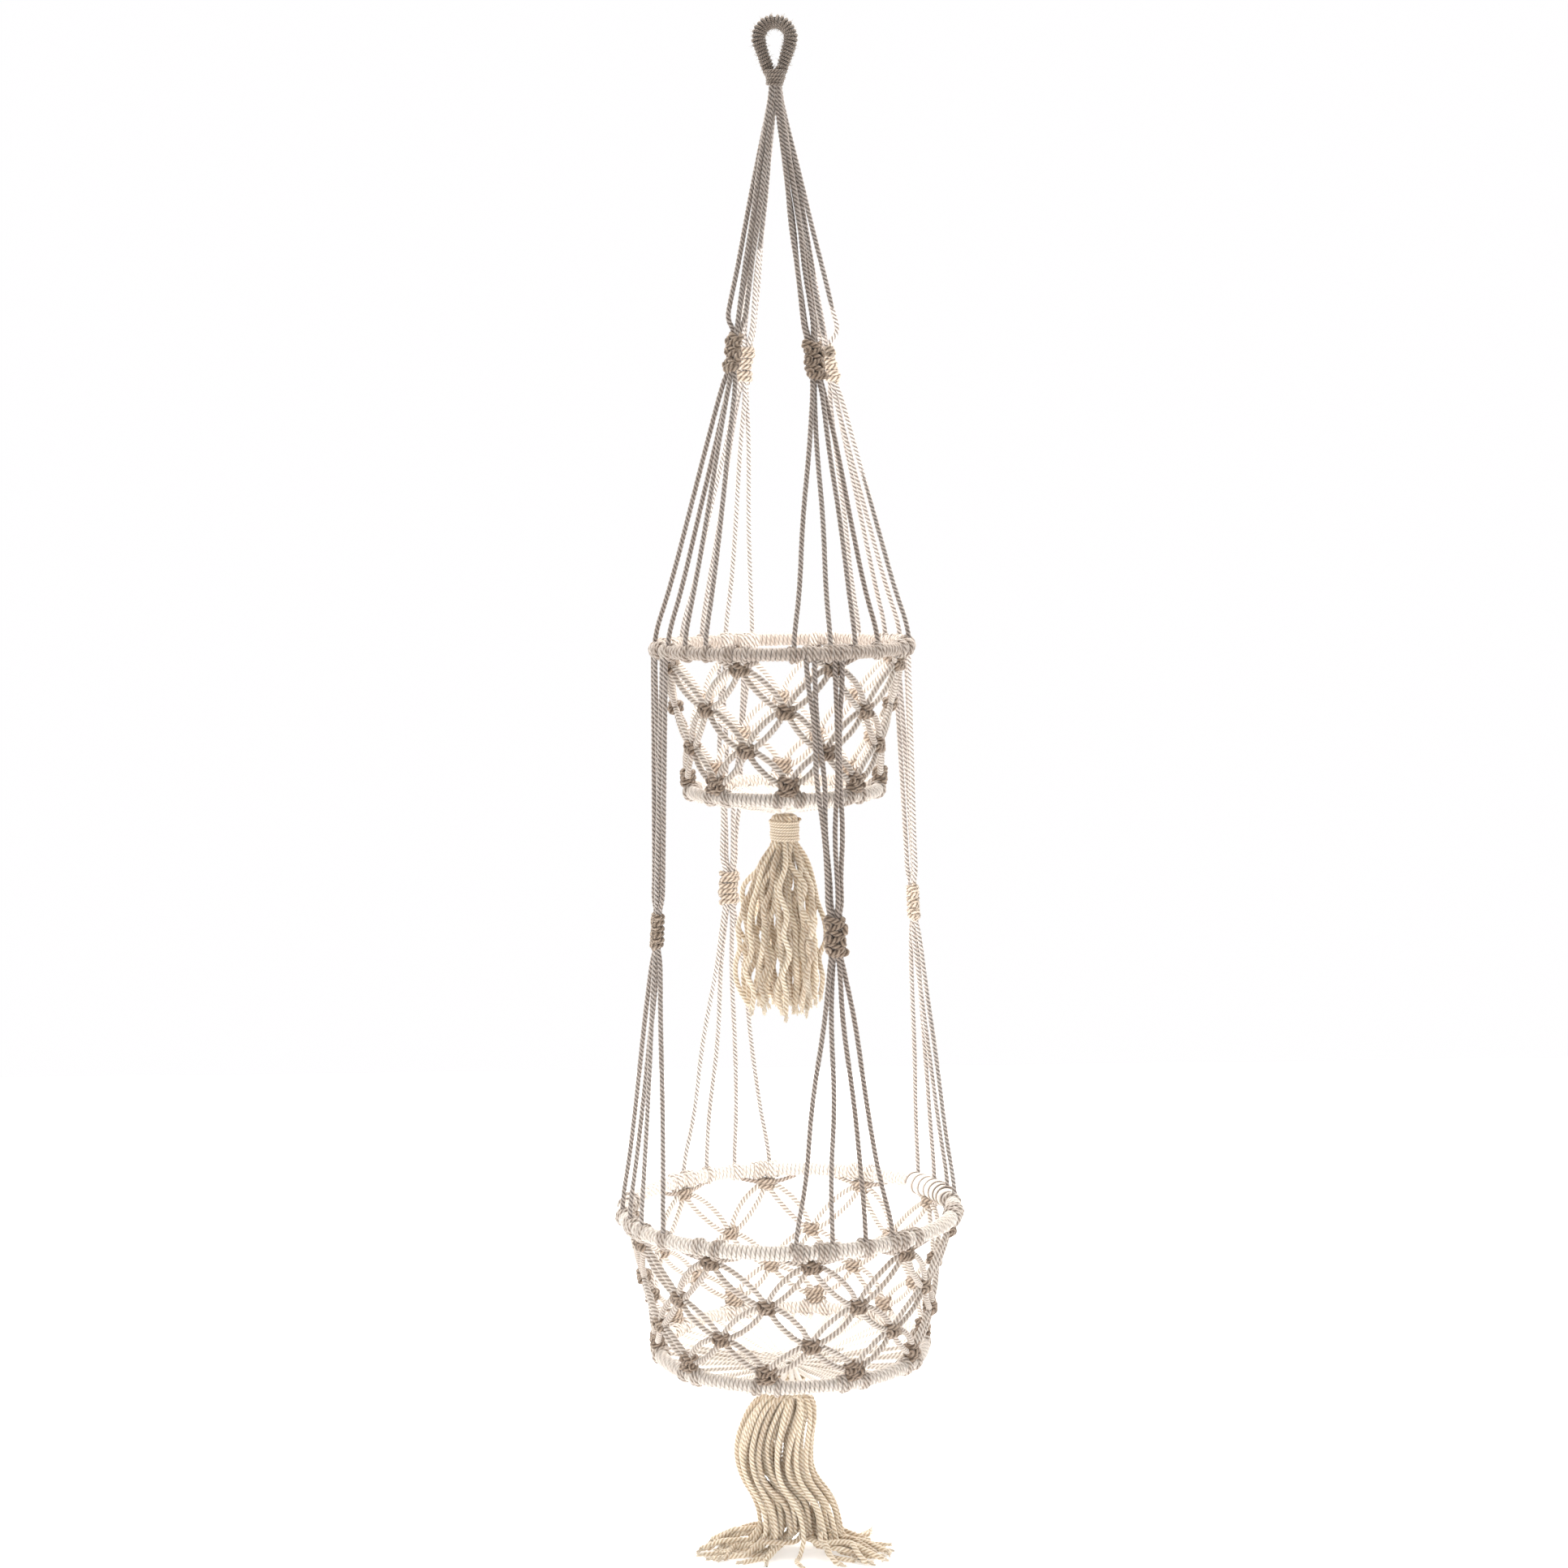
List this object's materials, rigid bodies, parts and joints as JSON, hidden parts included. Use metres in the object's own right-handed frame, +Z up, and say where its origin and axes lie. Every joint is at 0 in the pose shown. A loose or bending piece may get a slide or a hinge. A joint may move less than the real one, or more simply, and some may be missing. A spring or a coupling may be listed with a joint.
{
  "type": "hanging macrame planter",
  "caption": "Two-tier hanging macrame planter: knotted net baskets on wrapped hoops, hung from a wrapped loop by sinnet-tied cords, each basket ending in a tassel.",
  "frame": {"origin": "top of the hanging loop's eye, where the hook bears", "axes": "+Z up along the planter's length; -Y is the front and +X is to the right"},
  "size_m": [0.2524, 0.2524, 1.1084],
  "materials": {
    "cotton_cord": "natural undyed twisted cotton cord, matt",
    "loop_cotton": "fine cotton wrapping, tightly turned, matt",
    "tassel_cotton": "loose cotton cord strands with frayed ends, matt",
    "hoop_wire": "plain round steel wire, hidden under the wrapping"
  },
  "bodies": {
    "hanging_loop": {"loop_core": "loop_cotton", "loop_wrap": "loop_cotton", "gather_collar": "loop_cotton"},
    "upper_tier": {"neck_bundle": "cotton_cord", "upper_strands_1": "cotton_cord", "upper_strands_2": "cotton_cord", "upper_strands_3": "cotton_cord", "upper_strands_4": "cotton_cord", "upper_sinnet_1": "cotton_cord", "upper_sinnet_2": "cotton_cord", "upper_sinnet_3": "cotton_cord", "upper_sinnet_4": "cotton_cord", "upper_fan_1": "cotton_cord", "upper_fan_2": "cotton_cord", "upper_fan_3": "cotton_cord", "upper_fan_4": "cotton_cord", "upper_hoop_wire": "hoop_wire", "upper_hoop_wrap": "cotton_cord", "upper_base_hoop_wire": "hoop_wire", "upper_base_hoop_wrap": "cotton_cord", "upper_net_knots_1": "cotton_cord", "upper_net_knots_2": "cotton_cord", "upper_net_knots_3": "cotton_cord", "upper_net_knots_4": "cotton_cord", "upper_net_cords_1": "cotton_cord", "upper_net_cords_2": "cotton_cord", "upper_net_cords_3": "cotton_cord", "upper_base_spokes": "cotton_cord", "upper_base_gather": "cotton_cord"},
    "lower_tier": {"lower_strands_1": "cotton_cord", "lower_strands_2": "cotton_cord", "lower_strands_3": "cotton_cord", "lower_strands_4": "cotton_cord", "mid_sinnet_1": "cotton_cord", "mid_sinnet_2": "cotton_cord", "mid_sinnet_3": "cotton_cord", "mid_sinnet_4": "cotton_cord", "lower_fan_1": "cotton_cord", "lower_fan_2": "cotton_cord", "lower_fan_3": "cotton_cord", "lower_fan_4": "cotton_cord", "lower_hoop_wire": "hoop_wire", "lower_hoop_wrap": "cotton_cord", "lower_hoop_overwrap": "cotton_cord", "lower_base_hoop_wire": "hoop_wire", "lower_base_hoop_wrap": "cotton_cord", "lower_net_knots_1": "cotton_cord", "lower_net_knots_2": "cotton_cord", "lower_net_knots_3": "cotton_cord", "lower_net_knots_4": "cotton_cord", "lower_net_cords_1": "cotton_cord", "lower_net_cords_2": "cotton_cord", "lower_net_cords_3": "cotton_cord", "lower_base_spokes": "cotton_cord", "lower_base_gather": "cotton_cord"},
    "upper_tassel": {"upper_tassel_head": "tassel_cotton", "upper_tassel_skirt": "tassel_cotton"},
    "bottom_tassel": {"bottom_tassel_head": "tassel_cotton", "bottom_tassel_body": "tassel_cotton", "bottom_tassel_tail": "tassel_cotton"}
  },
  "joints": [
    {"name": "planter_twist", "type": "hinge", "parent": "hanging_loop", "child": "upper_tier", "pos_m": [0, 0, -0.0402], "axis": [0, 0, 1], "range_deg": [-90, 90], "stiffness_Nm_per_rad": 0.006},
    {"name": "lower_tier_twist", "type": "hinge", "parent": "upper_tier", "child": "lower_tier", "pos_m": [0, 0, -0.4391], "axis": [0, 0, 1], "range_deg": [-20, 20], "stiffness_Nm_per_rad": 0.066},
    {"name": "upper_tassel_swing", "type": "hinge", "parent": "upper_tier", "child": "upper_tassel", "pos_m": [0, 0, -0.5522], "axis": [0, 1, 0], "range_deg": [-15, 15]},
    {"name": "bottom_tassel_twist", "type": "hinge", "parent": "lower_tier", "child": "bottom_tassel", "pos_m": [0, 0, -0.9642], "axis": [0, 0, 1], "range_deg": [-45, 45], "stiffness_Nm_per_rad": 0.0005}
  ]
}
